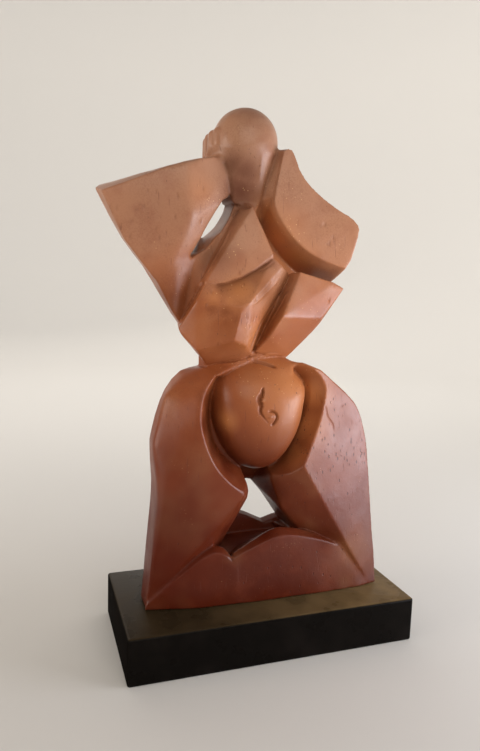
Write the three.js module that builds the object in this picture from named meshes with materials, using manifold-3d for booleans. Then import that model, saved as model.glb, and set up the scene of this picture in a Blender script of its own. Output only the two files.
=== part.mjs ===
// Seated clay figure on a black wooden plinth, millimetres, +Z up.
// The origin is the middle of the plinth's underside, and the figure faces -Y.

import * as THREE from 'three';
import { ConvexGeometry } from 'three/addons/geometries/ConvexGeometry.js';
import { mergeVertices } from 'three/addons/utils/BufferGeometryUtils.js';
import Module from 'manifold-3d';

const wasm = await Module();
wasm.setup();

// Driving dimensions
const plinthWidth = 150;
const plinthDepth = 72;
const plinthHeight = 23.5;
const plinthEdge = 1.4;
const restGap = 0.3;

const bellyCentre = [-5.6, -4, 95.2];
const bellyRadii = [23.5, 20.5, 28.2];
const bellyTaper = 0.2;
const bellyBack = 12;
const bellyTopSquareness = 2.3;
const bellyFrontSquareness = 2.25;
// Where the outline swells: angle in the front view, share of the radius, spread.
const bellySwells = [[0.5, 0.05, 0.22], [2.4, 0.05, 0.4]];

const navelWidth = 3.4;
const navelDepth = 1.2;
const hookWidth = 0.7;
const hookDepth = 0.7;

const skullCentre = [-14.6, -1, 227.8];
const skullRadii = [16, 15, 16];
const skullLowerStretch = 1.9;
const browHeight = 222;
const chinHeight = 199.5;

const fingerCount = 4;
const fingerRadius = 2.7;
const fingerLength = 6.5;
const fingerHeight = 224.6;
const fingerRise = 0.9;
const firstFingerAngle = -24;
const fingerStep = 13;
const firstFingerProud = 2.2;
const fingerSink = 1.1;

// Tilt of the right arm's sides: millimetres down for each millimetre back.
const rightArmLean = -0.42;

// How the bowl round the belly flares open, sideways and to the front.
const bowlCentre = [-6, -4, 94];
const bowlFlare = 0.19;
const bowlFlareFront = 0.8;

// The same geometry with its doubled points merged, so that it is closed.
function closed(geometry) {
  const shell = geometry.clone();
  shell.deleteAttribute('normal');
  shell.deleteAttribute('uv');
  return mergeVertices(shell, 1e-4);
}

// Solids from three.js geometry
function solid(geometry) {
  const merged = closed(geometry);
  const mesh = new wasm.Mesh({
    numProp: 3,
    vertProperties: new Float32Array(merged.attributes.position.array),
    triVerts: new Uint32Array(merged.index.array),
  });
  return new wasm.Manifold(mesh);
}

function geometryOf(manifold) {
  const mesh = manifold.getMesh();
  const geometry = new THREE.BufferGeometry();
  geometry.setAttribute('position', new THREE.BufferAttribute(mesh.vertProperties, 3));
  geometry.setIndex(new THREE.BufferAttribute(mesh.triVerts, 1));
  const faceted = geometry.toNonIndexed();
  faceted.computeVertexNormals();
  return faceted;
}

const point = ([x, y, z]) => new THREE.Vector3(x, y, z);

// A faceted block: the tightest convex solid round its corners.
const block = (...corners) => solid(new ConvexGeometry(corners.map(point)));

// Corners along a smooth arris through a few named places.
function arris(places, steps) {
  const curve = new THREE.CatmullRomCurve3(places.map(point), false, 'centripetal');
  return curve.getPoints(steps).map((p) => p.toArray());
}

// The same for an arris that closes on itself.
function ring(places, steps) {
  const curve = new THREE.CatmullRomCurve3(places.map(point), true, 'centripetal');
  return curve.getPoints(steps).slice(0, steps).map((p) => p.toArray());
}

// A slab cut to an outline in the front view, from yFront to yBack. Its sides lean: each
// millimetre towards the back moves the outline by lean = [x, z].
function slab(outline, yFront, yBack, lean = [0, 0]) {
  const depth = yBack - yFront;
  const geometry = new THREE.ExtrudeGeometry(new THREE.Shape(outline), {
    depth, bevelEnabled: false, curveSegments: 10,
  });
  const turnUpright = new THREE.Matrix4().set(
    1, 0, -lean[0], lean[0] * depth,
    0, 0, -1, yBack,
    0, 1, -lean[1], lean[1] * depth,
    0, 0, 0, 1,
  );
  geometry.applyMatrix4(turnUpright);
  return solid(geometry);
}

// Points of a smooth outline in the front view.
function outlineThrough(places, steps) {
  return new THREE.SplineCurve(places.map(([x, z]) => new THREE.Vector2(x, z))).getPoints(steps);
}


// A ball of radius 1 with its poles up and down.
const ball = (segments, rows) => closed(new THREE.SphereGeometry(1, segments, rows).rotateX(Math.PI / 2));

const join = (...solids) => solids.reduce((a, b) => a.add(b));
const cut = (body, ...tools) => tools.reduce((a, b) => a.subtract(b), body);

// Head: the smooth skull above the brow, and below it flat facets down to the narrow chin.
function makeHead() {
  const shell = ball(28, 20).attributes.position;
  const corners = [];
  for (let i = 0; i < shell.count; i++) {
    const rise = skullRadii[2] * shell.getZ(i) * (shell.getZ(i) < 0 ? skullLowerStretch : 1);
    const z = skullCentre[2] + rise;
    if (z < browHeight) continue;
    corners.push([
      skullCentre[0] + skullRadii[0] * shell.getX(i), skullCentre[1] + skullRadii[1] * shell.getY(i), z,
    ]);
  }
  const chin = [
    [-5.6, 3, chinHeight], [-7.5, -6, chinHeight], [-21, -4, chinHeight],
    [-22, 10, chinHeight], [-8, 13, chinHeight],
  ];
  return block(...corners, ...chin);
}

// Hand behind the head: fingers side by side round the skull, each lying a little deeper.
function makeHand() {
  const fingers = [];
  for (let i = 0; i < fingerCount; i++) {
    const angle = THREE.MathUtils.degToRad(firstFingerAngle + fingerStep * i);
    const proud = firstFingerProud - fingerSink * i;
    const finger = new THREE.CapsuleGeometry(fingerRadius, fingerLength, 5, 12);
    finger.rotateX(Math.PI / 2);
    finger.translate(
      skullCentre[0] - (skullRadii[0] + proud) * Math.cos(angle),
      skullCentre[1] - (skullRadii[1] + proud) * Math.sin(angle),
      fingerHeight + fingerRise * i,
    );
    fingers.push(solid(finger));
  }
  const palm = block(
    [-31.5, 1, 219], [-31, 3, 226], [-30, 5, 229], [-28, 9, 231], [-18, 12, 232], [-20, -6, 219],
    [-30, 10, 218], [-18, 13, 218],
  );
  return join(palm, ...fingers);
}

// Left arm, bent back to the head: two front planes that meet at a soft upright arris.
function makeLeftArm() {
  const elbow = [[-83.5, -8, 199.5], [-85.5, 2, 202], [-83.5, 8, 204]];
  const bend = arris([[-47, -16.5, 214.5], [-45.5, -17, 199.5], [-43.5, -16.5, 190]], 3);
  return block(
    ...elbow, ...bend,
    [-80, -8.5, 201], [-27.5, -7, 220], [-22, -5, 214], [-23.5, -5, 201], [-26.5, -7, 198.5],
    [-36.5, -9, 183], [-44, -9.5, 171],
    [-60.5, -10.5, 163.5], [-56, -10, 157], [-73.5, -9.5, 178.5],
    [-78, 5, 189], [-72.5, 5, 180], [-63, 5, 168], [-57, 5, 161],
    [-27, 12, 222], [-50, 12, 214], [-24, 13, 200], [-36, 13, 182], [-48, 12, 166],
    [-47, 15.5, 206], [-52, 15.5, 184],
  );
}

// Left shoulder: from under the gap beside the neck down to the corner of the breast.
function makeLeftShoulder() {
  return join(
    block(
      [-60.5, -10.5, 163.5], [-56, -10.5, 157], [-50.5, -8, 146.5], [-46.8, -6, 141.5],
      [-63, 5, 168], [-57, 5, 161], [-52.5, 4, 152], [-49.5, 3, 146], [-45.5, 1, 140],
      [-43, -9, 172], [-50, -12, 166], [-37, -7, 174.5],
      [-33.5, -3, 162], [-30, -3, 172], [-46, 12, 160], [-34, 13, 178], [-30, 13, 150],
    ),
    block(
      [-41, -8, 170.5], [-31.5, -5.5, 178.5], [-25.5, -4.5, 185.5], [-21.5, -4, 192],
      [-19.5, -3.5, 199], [-18, -3, 204], [-17, 6, 206], [-21, 12.5, 199.5],
      [-25, 12.5, 190], [-31, 13, 184], [-36, 12.5, 179],
      [-20, -2, 195.5], [-36.5, -8.5, 163], [-40.5, -8, 155], [-46, -5, 143], [-8, 12, 200],
      [-20, 16, 160], [-10, 2, 202], [-10, 10, 150],
    ),
  );
}

// Right arm: a leaning slab, its inner arris swelling towards the neck, its outer edge hollow.
function makeRightArm() {
  const inner = outlineThrough([
    [0.6, 223.6], [-1, 214.5], [-3.2, 200.5], [0.2, 192], [9.5, 181.5], [21, 174.6], [36.5, 169.5],
  ], 15);
  const end = outlineThrough([[39.5, 174], [41.5, 181], [43, 188], [42.4, 192], [37.5, 195.5]], 7);
  const outer = outlineThrough([
    [37.5, 195.5], [28, 200.2], [17, 207.2], [10.4, 214.2], [6.8, 221.5],
  ], 10);
  const outline = [
    ...inner, ...end, ...outer.slice(1), new THREE.Vector2(5.1, 224.3), new THREE.Vector2(2.8, 224.8),
  ];
  const front = slab(outline, -14, 12, [0, rightArmLean]);
  const forearm = block(
    [0.5, -8, 225.1], [0.8, -12.5, 223.6], [3, -12.5, 224.8], [5, -11, 224.2],
    [-2.8, -12, 203], [-1, -12, 214.5], [-12, 6, 224],
    [-12, 6, 197], [3, 0, 187], [5.4, 8, 218], [5, 10, 196], [-6, 13, 216], [-6, 13, 196],
  );
  const backRidge = block(
    [7, 11, 200], [2, 11, 188], [21, 11, 167], [35, 11, 160], [38, 11, 182], [18, 11, 196],
    [16, 15.5, 189], [29, 15, 174],
  );
  return join(front, forearm, backRidge);
}

// Chest: a flat kite from the pit of the neck down to its curved lower edge.
function makeChest() {
  const lowerEdge = arris([
    [-3.2, -15.6, 174.6], [-15, -16, 167.5], [-26.5, -15.6, 162], [-36.5, -14.4, 160.6],
  ], 6);
  return block(
    [-13.2, -11.6, 197.2], [-9.3, -14.2, 184], ...lowerEdge,
    [-15.5, -5, 199.5], [-29, -4, 179], [-38, -4.5, 160],
    [-9, 6, 200], [-5, 6, 184], [4, 6, 168],
  );
}

// Left breast: a wedge with a broad top facet, a front facet and a narrow bright side.
function makeLeftBreast() {
  return block(
    [-47.6, -8, 138.5], [-36.5, -13.6, 160.2], [-3.5, -15, 174], [2.5, -14, 169.5], [8, -9, 166],
    [-40.4, -14.6, 152.4], [-21.5, -25, 149.5], [-17, -24.5, 152.5],
    [-24.5, -23, 134], [-17, -20, 131], [-40, -14, 129], [-46.5, -9, 136],
    [-12.5, -13, 127], [-33, -7, 120.5], [-17, -9, 122.3],
    [-45, 6, 140], [-40, 10, 150], [2, 8, 160], [-32, 8, 124], [0, 8, 127],
  );
}

// Right breast: an upper facet out to a sharp tip, and a lower one turned under.
function makeRightBreast() {
  return block(
    [11.5, -15, 167.2], [9.5, -8, 166.8], [39.6, -8, 160], [32.5, -10.5, 162.8],
    [25, -13.5, 145], [0.2, -21.5, 145.5], [-5, -18.5, 135.5], [-10.5, -13, 127.5],
    [9.5, -7, 124.5], [15, -8, 130.5], [21.5, -9.5, 137], [25.2, -10, 141.5],
    [37, 2, 159], [20, 8, 160], [10, 8, 165], [20, 6, 140], [6, 6, 126],
  );
}

// Torso behind the breasts, down to the narrow waist.
function makeTorso() {
  const ribs = block(
    [-35, 0, 125.5], [-32.5, -6, 122], [-12.5, -11, 126], [-1.5, -10.5, 127.5], [10, -6, 125.5],
    [-33, 10, 125], [-12, 15, 124], [9, 10, 126],
    [-46, 2, 141], [-42, 10, 150], [28, 9, 156], [22, 0, 142],
    [-38, 12, 178], [-14, 15, 197], [8, 12, 190], [28, 10, 170], [-8, 4, 198],
    [-28, 18.5, 170], [-5, 18.5, 170], [-20, 18, 182], [-6, 18, 182], [-12, 16, 128],
  );
  const waist = block(
    [-35.2, 0, 126], [-35, 0, 119], [-32.7, -7, 120], [-24.5, -9.5, 122], [-14.9, -11.5, 123.7],
    [-5.9, -11.2, 125.5], [1.6, -10, 126.3], [9.6, -6, 125.1], [-31, 3, 112], [8, 3, 112],
    [-32, 10, 126], [9, 10, 126],
    [-12, 15, 125], [-12, 18, 112],
  );
  const neck = block(
    [-7.5, -6, 201], [-21, -4, 201], [-6, 3, 201], [-21, 10, 201], [-8, 13, 201],
    [-18, -3, 194], [-12, -7.5, 192], [-6, 0, 192], [-20, 13, 194], [-5, 14, 192],
    [1, 9, 203], [2, 12, 192],
  );
  const spine = block(
    [-18, 26, 204], [-6, 26, 204], [-12, 12, 197], [-18, 26, 108], [-6, 26, 108], [-12, 13, 118],
  );
  return cut(join(ribs, waist, neck), spine);
}

// How far the belly's outline reaches at an angle in the front view: round below, squarer above,
// with its swells.
function bellyReach(angle) {
  const power = angle > 0 ? bellyTopSquareness : 2;
  const square = (Math.abs(Math.cos(angle)) ** power + Math.abs(Math.sin(angle)) ** power) ** (-1 / power);
  const swell = ([middle, share, spread]) => share * Math.exp(-(((angle - middle) / spread) ** 2));
  return bellySwells.reduce((reach, each) => reach + swell(each), square);
}

// How far the belly stands proud of its outline's plane, from the middle (0) to the outline (1).
function bellyBulge(share) {
  return Math.max(0, 1 - share ** bellyFrontSquareness) ** (1 / bellyFrontSquareness);
}

// Belly: an egg with a flattened front, wider at the top by the taper, shallower at the back.
function makeBelly() {
  const geometry = ball(40, 28);
  const p = geometry.attributes.position;
  for (let i = 0; i < p.count; i++) {
    const share = Math.hypot(p.getX(i), p.getZ(i));
    const reach = bellyReach(Math.atan2(p.getZ(i), p.getX(i)));
    const up = reach * p.getZ(i);
    const depth = p.getY(i) < 0 ? -bellyRadii[1] : bellyBack;
    p.setXYZ(
      i,
      bellyCentre[0] + bellyRadii[0] * reach * p.getX(i) * (1 + bellyTaper * up),
      bellyCentre[1] + depth * bellyBulge(share),
      bellyCentre[2] + bellyRadii[2] * up,
    );
  }
  return solid(geometry);
}

// The belly's front surface at a place in the front view.
function bellyFront(x, z) {
  const up = (z - bellyCentre[2]) / bellyRadii[2];
  const across = (x - bellyCentre[0]) / (bellyRadii[0] * (1 + bellyTaper * up));
  const share = Math.hypot(across, up) / bellyReach(Math.atan2(up, across));
  return bellyCentre[1] - bellyRadii[1] * bellyBulge(share);
}

// A leaf-shaped gouge along a line in the front view of the belly: a slope on its left, a steep wall
// on its right, and its deepest and widest place halfway.
function gouge(places, width, depth, steps) {
  const line = outlineThrough(places, steps);
  const sections = line.map(({ x, y: z }, i) => {
    const open = 0.25 + 0.75 * Math.sin((Math.PI * i) / steps);
    const skin = bellyFront(x, z);
    return [
      [x - width * open, skin - 0.3, z], [x + 0.15 * width, skin - 0.3, z], [x, skin + depth * open, z],
      [x - width * open, skin - 3, z], [x + 0.15 * width, skin - 3, z],
    ];
  });
  return join(...sections.slice(1).map((section, i) => block(...sections[i], ...section)));
}

// Rims of the thighs, where their outer planes turn in towards the belly.
const leftRim = [
  [-25.6, -13, 119.7], [-35.7, -18.5, 110.6], [-39, -21, 96], [-34, -21.5, 79], [-23.5, -21, 64.5],
];
const rightRim = [
  [14.1, -22, 71.8], [19.7, -19.2, 86.2], [23.5, -17.4, 94.5], [28.5, -14.8, 108.3], [25.7, -15.1, 114.6],
  [19.2, -16.7, 120],
];

// Left hip and thigh, one broad plane that ends in the knee under the belly.
function makeLeftThigh() {
  const innerArris = arris([...leftRim, [-15.5, -19, 57]], 12);
  const outer = arris([
    [-34.3, 2, 119.7], [-44, 2, 117.3], [-51.5, 2, 108.5], [-56.5, 2, 95], [-59.6, 2, 80],
  ], 8);
  const thigh = block(
    ...innerArris, ...outer, [-34, -8, 119.6], [-44.8, -6.5, 114.4], [-53.3, -7, 106.4],
    [-59.4, -8.5, 82], [-60.4, -9.5, 48], [-61.8, -10, 20], [-62.8, -11, 0], [-53, -15.5, 68],
    [-60.6, 3.5, 48], [-61.8, 3.5, 18], [-62.4, 3.4, 0],
    [-11, -13, 57.5], [-11.2, -12, 53.5], [-14.8, -10.5, 49.5], [-11.5, -8, 61],
    [-17, -9, 46.3], [-26.5, -7, 39.2], [-36.5, -6.5, 31.3], [-45.2, -6.5, 23], [-54.5, -7.5, 14],
    [-60.6, -9, 8], [-45, -4, 0],
    [-52, 14, 60], [-48, 15, 96], [-24, 19, 112], [-20, 19.5, 60],
    [-20, 14, 46], [-28, 12, 34], [-50, 11.5, 20], [-48, 11, 0], [-30, 10, 0],
  );
  const besideKnee = slab([
    new THREE.Vector2(-75, 84),
    ...outlineThrough([
      [-59.7, 84], [-58.9, 72], [-57.8, 60], [-57.9, 50], [-59.2, 38], [-60.6, 22], [-62, 8], [-62.9, -1],
    ], 14),
    new THREE.Vector2(-75, -1),
  ], -30, 30, [0.02, 0]);
  return cut(thigh, besideKnee);
}

// Right hip and thigh: the outer plane is flat, with a strong arris that turns at the knee.
function makeRightThigh() {
  const outer = arris([
    [25.7, -14.8, 118.6], [34.5, -12.7, 112], [48.7, -9.3, 100.5], [53.2, -8.6, 93.2],
    [56.3, -8.3, 84.8], [58.1, -8.6, 73.7], [60.3, -10.2, 45.9], [63.1, -11.5, 23.1], [65, -13.8, 0],
  ], 16);
  return block(
    ...outer, ...rightRim, [8, -8, 124], [16, -12, 122.3],
    [25.4, -19.8, 56.2], [39.4, -17.3, 34.6], [49.3, -15.6, 19.3], [60, -15.6, 0],
    [3.5, -14, 71], [2, -9, 62], [9, -8, 46], [20, -8, 32],
    [-2, 13, 56], [13.3, 14, 35], [16, 15, 22],
    [12, 14, 116], [44, 8, 100], [54, 8, 72], [58, 6, 30], [61, 4, 0], [20, 19, 90], [24, 19, 40],
  );
}

// Loins behind the belly, with the two seat muscles at the back.
function makeLoins() {
  const core = block(
    [-30, -4, 118], [14, -4, 118], [-34, 2, 70], [20, 0, 66], [-9, 9, 57], [-1, 10, 56],
    [-28, 13, 118], [-12, 14, 119], [10, 13, 120], [-34, 14, 70], [24, 14, 70], [-4, 14, 57],
  );
  const seat = (side, x) => block(
    [x - 6 * side, 16, 116], [x + 14 * side, 14, 108], [x + 24 * side, 14, 90], [x + 26 * side, 14, 70],
    [x + 20 * side, 15, 52], [x + 4 * side, 16, 50], [x - 13 * side, 15, 60], [x - 15 * side, 14, 84],
    [x - 8 * side, 22, 96], [x + 8 * side, 22.5, 94], [x + 12 * side, 22.5, 74], [x - 6 * side, 23, 68],
    [x, 4, 110], [x, 4, 60],
  );
  return join(core, seat(-1, -24), seat(1, 14));
}

// Shins crossed in front: two low wedges with a bevelled top edge.
function makeShins() {
  const leftCrest = arris([
    [-61.8, -9.5, 7], [-55, -11, 12.8], [-40.5, -12, 24.3], [-29.5, -12, 30], [-23.5, -13, 28.8],
    [-20, -15.5, 24.5],
  ], 10);
  const leftLower = arris([
    [-61.8, -12.5, 3], [-56, -14, 8.8], [-41, -15.5, 21], [-29, -16, 27.8], [-22.5, -16.8, 25.3],
    [-19.5, -17, 21.5],
  ], 10);
  const left = block(
    ...leftCrest, ...leftLower, [-63, -12, 0], [-36, -17, 0], [-17, -18, 0], [-17, -17.6, 18],
    [-58, 0, 0], [-56, -2, 8], [-32, 2, 24], [-22, 2, 20], [-17, 6, 0], [-30, 6, 0],
  );
  const rightCrest = arris([
    [-19.3, -14.5, 25.8], [-8.5, -13, 30.5], [-1, -12, 34.3], [4.5, -12, 36.2], [12, -12, 35.8],
    [27.5, -12, 31], [49.5, -13.5, 19.8],
  ], 14);
  const rightLower = arris([
    [-19.5, -17, 24], [-6.5, -17, 29.8], [5.5, -17.2, 33.5], [16.5, -17, 32.5], [35, -16.5, 27],
    [49, -15.5, 20],
  ], 12);
  const right = block(
    ...rightCrest, ...rightLower, [-19.5, -17.8, 0], [-4.5, -18.3, 0], [29.5, -18.4, 0],
    [54, -17, 0], [64.7, -14.6, 0], [61.5, -13.6, 11], [56, -14.6, 17],
    [-19, 4, 0], [-14, 0, 22], [6, 0, 30], [28, 0, 26], [50, 0, 16], [58, 0, 0],
  );
  return join(left, right);
}

// Back of the base: the feet, and the low rim that shows through the gap.
function makeFeet() {
  const base = arris([
    [-60, 3.4, 0], [-50, 11, 0], [-25, 17, 0], [5, 18.4, 0], [35, 16, 0], [60, 4, 0],
  ], 10);
  const floor = block(
    ...base, [-58, -8, 0], [58, -10, 0], [-58, 2, 10], [-30, -2, 22], [-18, -6, 22.5], [24, -3, 25],
    [58, 2, 10], [-48, 9, 18], [48, 9, 18], [-22, 17.5, 26], [26, 17.5, 26],
  );
  const foot = (crest, ...ground) => block(
    ...crest.map(([x, y, z]) => [x, y - 3.5, z - 1]), ...crest.map(([x, y, z]) => [x, y + 2.5, z]),
    ...ground,
  );
  const leftFoot = foot(
    arris([[-32, 15, 26], [-22, 15.5, 36.5], [-12, 15.8, 38.4], [-4, 15.8, 36.2], [8, 15.8, 30.3]], 10),
    [-36, 16, 4], [-34, 10, 0], [12, 18.3, 4], [12, 10, 0], [-14, 20, 14],
  );
  const rightFoot = foot(
    arris([[6, 15.8, 30], [16, 15.8, 32.8], [26, 15.5, 33.5], [38, 13.5, 23]], 8),
    [4, 18.3, 4], [4, 10, 0], [44, 13.5, 4], [44, 8, 0], [22, 20, 12],
  );
  return join(floor, leftFoot, rightFoot);
}

// The bowl that the belly sits in: two funnels whose rims are the rims of the thighs.
function makeBowl() {
  const funnel = (rim, floor) => {
    const edge = ring(rim, 44);
    const flare = edge.map(([x, y, z]) => [
      x + bowlFlare * (x - bowlCentre[0]),
      y + bowlFlareFront * (y - bowlCentre[1]),
      z + bowlFlare * (z - bowlCentre[2]),
    ]);
    return block(...edge, ...flare, ...ring(floor, 36));
  };
  const under = [-8, -20, 55];
  const shallow = funnel(
    [[-6, -14, 124], ...leftRim, under, [8, -21.5, 62], ...rightRim],
    [
      [-5, -7, 121], [-22, -5, 116], [-29.8, -5, 98], [-27, -6, 80], [-16.5, -6, 69], [-4.5, -6, 65],
      [8, -6, 70], [15, -8, 84], [19.5, -7, 101], [12, -7, 117],
    ],
  );
  const steep = funnel(
    [
      [-6, -14, 124], ...leftRim, under, [6, -19.5, 66], [11.5, -19, 78], [18.5, -16.5, 96],
      [21.5, -13.5, 110], [14, -12, 120],
    ],
    [
      [-5, -7, 121], [-22, -4, 116], [-29.8, -4, 98], [-27, -5, 80], [-16.5, -6, 69], [-4.5, -6, 65],
      [8, -5, 70], [15, -3, 84], [19.5, -2, 101], [12, -5, 117],
    ],
  );
  return [shallow, steep];
}

// The gap that runs through between the thighs, and the hollow under them.
function makeLegGap() {
  return block(
    [-6, -30, 57], [-3, -30, 57.5], [-6, 30, 56.8], [-1.5, 30, 55.6], [13, 30, 36], [15.5, 30, 31],
    [2, -30, 53], [22, -30, 30], [-14, 30, 38], [-14, -30, 40], [-12, 30, 48],
    [8, 30, 30], [0, -30, 34],
  );
}

// The leaf-shaped gap between the left arm and the neck, and the pocket below it.
function makeArmGap() {
  const through = block(
    [-27.7, -14, 199.3], [-37.4, -14, 183], [-33, -14, 179.5], [-27.5, -14, 183.5], [-23, -14, 190],
    [-20, -14, 197], [-19.5, -14, 203.5],
    [-23.5, 20, 201.3], [-33.5, 20, 184.6], [-31, 20, 184], [-27.4, 20, 187.2], [-24.3, 20, 190.5],
    [-20.8, 20, 197], [-20.3, 20, 200.5],
  );
  const pocket = block(
    [-37.4, -14, 183], [-44.5, -14, 170.6], [-33, -14, 177], [-27.5, -14, 183.5],
    [-31, 12, 184.2], [-33, 12, 184.4], [-42.6, -8, 171.4], [-35.4, -4, 176.4],
  );
  return [through, pocket];
}

// Fold at the waist: the tops of the hips run over the belly, the right one in a thin wedge.
function makeWaistFold() {
  const left = block(
    [-33.5, -7.5, 119.8], [-24.8, -11, 121.9], [-17.4, -12, 123.3], [-12, -12, 123.3],
    [-25, -13.2, 119.8], [-29.8, -15.2, 116.6], [-30, 0, 112], [-12, 0, 114], [-34, 0, 119],
  );
  const right = block(
    [-12.3, -12, 123.3], [-5.2, -10, 124], [2.1, -9, 124.3], [9, -7.5, 124], [12.5, -9, 122.8],
    [-6.3, -13.2, 121.8], [1.3, -14.5, 120.1], [6, -15.4, 118.6], [9.8, -15.2, 117.6],
    [12, -12.5, 120.8], [-6, 0, 121], [12, 0, 116], [4, 0, 112],
  );
  return join(left, right);
}

function makeFigure() {
  const legs = cut(
    join(makeLeftThigh(), makeRightThigh(), makeLoins()),
    ...makeBowl(),
  );
  const navel = gouge(
    [[-8, 110.9], [-9, 106.5], [-9.4, 101.8], [-8.5, 97.3], [-5.8, 94]], navelWidth, navelDepth, 8,
  );
  const hook = gouge(
    [[-5.1, 99.7], [-2.8, 98.9], [-1.9, 96.6], [-2.4, 94.3], [-3.7, 92.9]], hookWidth, hookDepth, 6,
  );
  const belly = cut(makeBelly(), navel, hook);
  const arms = cut(
    join(makeLeftArm(), makeLeftShoulder(), makeTorso()),
    ...makeArmGap(),
  );
  return join(
    cut(legs, makeLegGap()), belly, makeWaistFold(), makeShins(), makeFeet(),
    arms, makeRightArm(), makeChest(), makeLeftBreast(), makeRightBreast(), makeHead(), makeHand(),
  );
}

function makePlinth() {
  const half = [plinthWidth / 2, plinthDepth / 2];
  const outline = (inset, z) => [
    [-half[0] + inset, -half[1] + inset, z], [half[0] - inset, -half[1] + inset, z],
    [half[0] - inset, half[1] - inset, z], [-half[0] + inset, half[1] - inset, z],
  ];
  return block(
    ...outline(plinthEdge, 0), ...outline(0, plinthEdge),
    ...outline(0, plinthHeight - plinthEdge), ...outline(plinthEdge, plinthHeight),
  );
}

const firedClay = new THREE.MeshStandardMaterial({ color: 0xa9623f, roughness: 0.45, metalness: 0 });
const blackPaintedWood = new THREE.MeshStandardMaterial({ color: 0x1b1918, roughness: 0.35, metalness: 0 });

const group = new THREE.Group();

const figure = new THREE.Mesh(geometryOf(makeFigure()), firedClay);
figure.name = 'figure';
figure.position.z = plinthHeight + restGap;
group.add(figure);

const plinth = new THREE.Mesh(geometryOf(makePlinth()), blackPaintedWood);
plinth.name = 'plinth';
group.add(plinth);

export default group;
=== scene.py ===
"""Looks of the seated clay figure on its black plinth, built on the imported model.

Every object is in metres, +Z up. The figure is one piece: a voxel skin over the carved solid, its arrises
worn round, with the fine carving worked in by formula. The plinth is one rounded block of painted wood.
"""

import bpy
import numpy as np
from mathutils import Matrix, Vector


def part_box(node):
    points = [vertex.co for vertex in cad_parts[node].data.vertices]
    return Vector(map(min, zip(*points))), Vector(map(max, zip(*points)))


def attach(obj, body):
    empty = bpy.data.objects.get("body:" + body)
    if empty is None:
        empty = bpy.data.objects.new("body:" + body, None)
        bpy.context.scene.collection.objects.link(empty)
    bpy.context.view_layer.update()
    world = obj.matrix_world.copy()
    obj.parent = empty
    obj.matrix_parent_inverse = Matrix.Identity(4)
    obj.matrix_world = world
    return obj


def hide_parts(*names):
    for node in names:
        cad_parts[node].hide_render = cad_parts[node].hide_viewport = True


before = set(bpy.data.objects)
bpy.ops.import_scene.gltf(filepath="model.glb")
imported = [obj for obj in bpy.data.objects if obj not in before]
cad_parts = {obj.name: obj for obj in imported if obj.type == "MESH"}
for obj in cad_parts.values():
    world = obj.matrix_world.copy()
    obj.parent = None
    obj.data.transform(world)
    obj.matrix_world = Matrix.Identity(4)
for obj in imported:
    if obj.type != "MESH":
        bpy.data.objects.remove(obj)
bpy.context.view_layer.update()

MM = 0.001
PER_MM = 1 / MM

# The photograph's frame, and the camera found from the plinth's edges
IMAGE_HEIGHT = 751
FOCAL_PIXELS = 629
CAMERA_PLACE_MM = (-116.56, -300.67, 181.36)
CAMERA_PITCH = 7.74
CAMERA_YAW = 18.99
CAMERA_ROLL = 1.77
SENSOR_MM = 36

# Skin of the figure: the size of its voxels, and its triangles at the most
VOXEL = 0.5 * MM
MOST_TRIANGLES = 195000

# Rubbing: how many passes and how far each goes, for wear all over, for the polish between arrises, and for
# the soft places
WEAR_PASSES = 5
WEAR_SHARE = 0.5
POLISH_PASSES = 34
POLISH_SHARE = 0.4
SOFT_PASSES = 90
SOFT_SHARE = 0.5

# Where the polish stops: the turn of the surface in radians at which an arris begins, the further turn that
# makes it whole, how widely the turn is measured, and how the arris spreads
ARRIS_TURN = 0.05
ARRIS_TURN_RANGE = 0.09
ARRIS_AROUND_PASSES = 12
ARRIS_SPREAD_PASSES = 4
ARRIS_SPREAD_GAIN = 1.6

# Waviness of the hand-worked surface: how many waves, their lengths in mm, and height as a share of length
WAVE_COUNT = 26
WAVE_LENGTHS_MM = (7, 30)
WAVE_HEIGHT = 0.0011

# Pores: their radius and depth in mm, how much their size varies, and how much longer than wide they are
PORE_RADIUS_MM = 0.45
PORE_DEPTH_MM = 0.25
PORE_SIZES = (0.6, 1.3)
PORE_STRETCH = 2.4

# Arrises and hollows that count as whole: an arris's standing out in edge lengths, and the depth of a cut
# hollow in mm. They drive the pale rubbed arrises with their painted highlight, and the painted shade in
# hollows.
ARRIS_PROUD = 0.16
HOLLOW_DEPTH_MM = 0.7

# Belly: an egg with a flattened front. A swell is an angle in the front view, a share of the radius and a
# spread.
BELLY_CENTRE_MM = (-5.6, -4, 119)
BELLY_RADII_MM = (23.6, 20.6, 28.3)
BELLY_TAPER = 0.2
BELLY_BACK_MM = 12
BELLY_TOP_SQUARENESS = 2.3
BELLY_FRONT_SQUARENESS = 2.25
BELLY_SWELLS = ((0.5, 0.05, 0.22), (2.4, 0.05, 0.4))

# Skull above the brow
SKULL_CENTRE_MM = (-14.6, -1, 251.6)
SKULL_RADII_MM = (16.05, 15.05, 16.05)
SKULL_LOWER_STRETCH = 1.9
BROW_MM = 246

# Places rubbed soft, in mm: the line through the middle of each, and how far the rubbing reaches
SOFT_PLACES = (
    (((-47.4, -16.4, 238.1), (-45.4, -16.6, 227.4), (-44.8, -16.8, 220.9), (-46.2, -15.6, 209.9),
      (-51.9, -11.7, 188.6)), 9),
    (((-10.9, -15, 248), (-10.3, -12, 238), (-9.6, -8, 228)), 1.8),
    (((-46, -13, 134), (-50, -14, 116), (-52, -14, 92), (-50, -12, 62)), 15),
    (((11.5, -11.5, 145.2), (8.9, -13.9, 143.5), (7.2, -14.4, 141.6)), 4.5),
    (((-28, -7.5, 245.1), (-20.2, -13.8, 244.7), (-11, -15.4, 247), (-4, -12, 248.5), (0, -4, 248)), 2.4),
    (((-31, -4, 244.6), (-28.6, -6.8, 244.2)), 4.5),
)

# A lump of clay that closes a hole between the chest and the left shoulder: its middle and radius
LUMP_CENTRE_MM = (-36, -7, 183.4)
LUMP_RADIUS_MM = 2.6
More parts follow.
